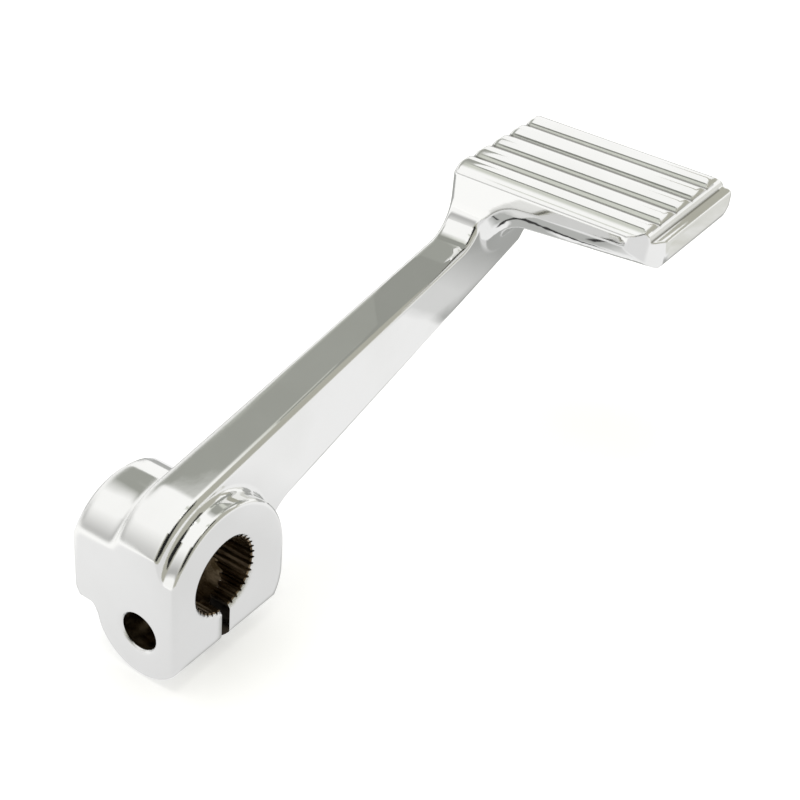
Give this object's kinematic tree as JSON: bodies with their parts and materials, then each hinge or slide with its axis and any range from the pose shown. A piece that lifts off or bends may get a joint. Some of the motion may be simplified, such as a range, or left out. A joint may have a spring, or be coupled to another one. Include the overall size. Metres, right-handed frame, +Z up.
{
  "type": "rear brake pedal",
  "caption": "Cranked one-piece foot lever with a serrated, slit clamp hub at one end and a wide ribbed foot pad at the other; pressing the pad turns the brake shaft.",
  "frame": {"origin": "on the axis of the serrated clamp bore, at its outboard mouth, in the plane of the hub's outboard face", "axes": "+X forward from the hub to the foot pad, +Y inboard along the bore towards the motorcycle, +Z up"},
  "size_m": [0.1596, 0.0667, 0.0759],
  "materials": {
    "chrome_plate": "polished chrome plate on forged steel"
  },
  "bodies": {
    "root": {"brake_pedal": "chrome_plate"}
  },
  "joints": []
}
